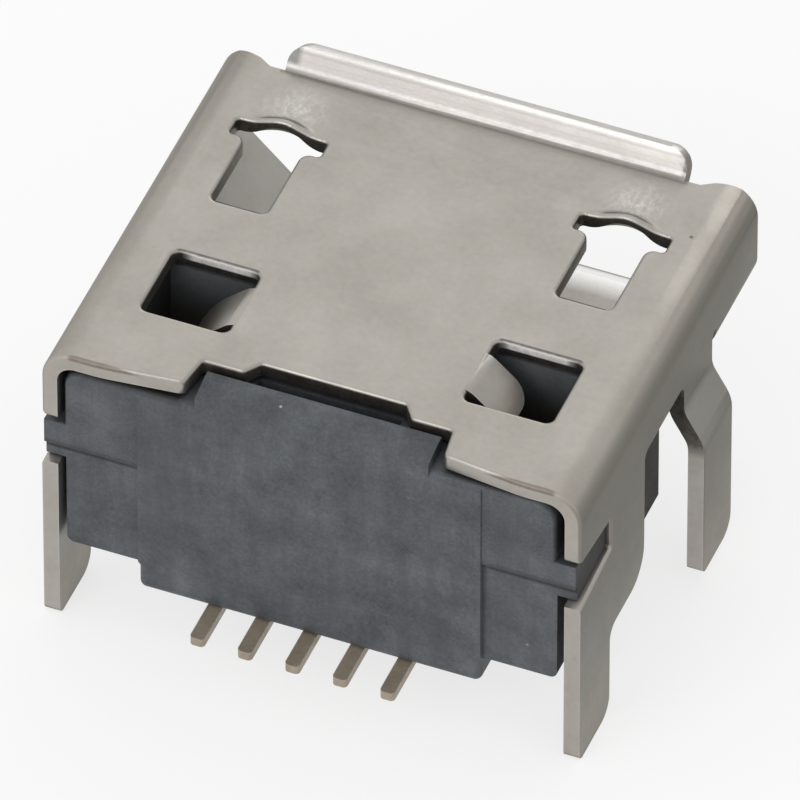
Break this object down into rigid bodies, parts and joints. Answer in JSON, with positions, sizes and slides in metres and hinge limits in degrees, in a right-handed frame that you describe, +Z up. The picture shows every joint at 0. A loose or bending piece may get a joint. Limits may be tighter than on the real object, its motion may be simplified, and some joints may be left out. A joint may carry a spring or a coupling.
{
  "type": "micro usb socket",
  "caption": "Raised micro usb socket for a circuit board: folded steel shell with board legs, black moulded housing with a tongue, and flat soldering tails.",
  "frame": {"origin": "on the board's upper face, in the middle of the socket's width, below the rear edge of the shell's walls", "axes": "+X to the right seen from the rear, +Y out of the mouth, +Z up from the board"},
  "size_m": [0.0078, 0.0069, 0.0049],
  "materials": {
    "shell": "satin, plated sheet",
    "housing": "matte, moulded",
    "contacts": "satin, tinned"
  },
  "bodies": {
    "root": {"shell": "shell", "housing": "housing", "contact_ground": "contacts", "contact_id": "contacts", "contact_data_plus": "contacts", "contact_data_minus": "contacts", "contact_power": "contacts"}
  },
  "joints": []
}
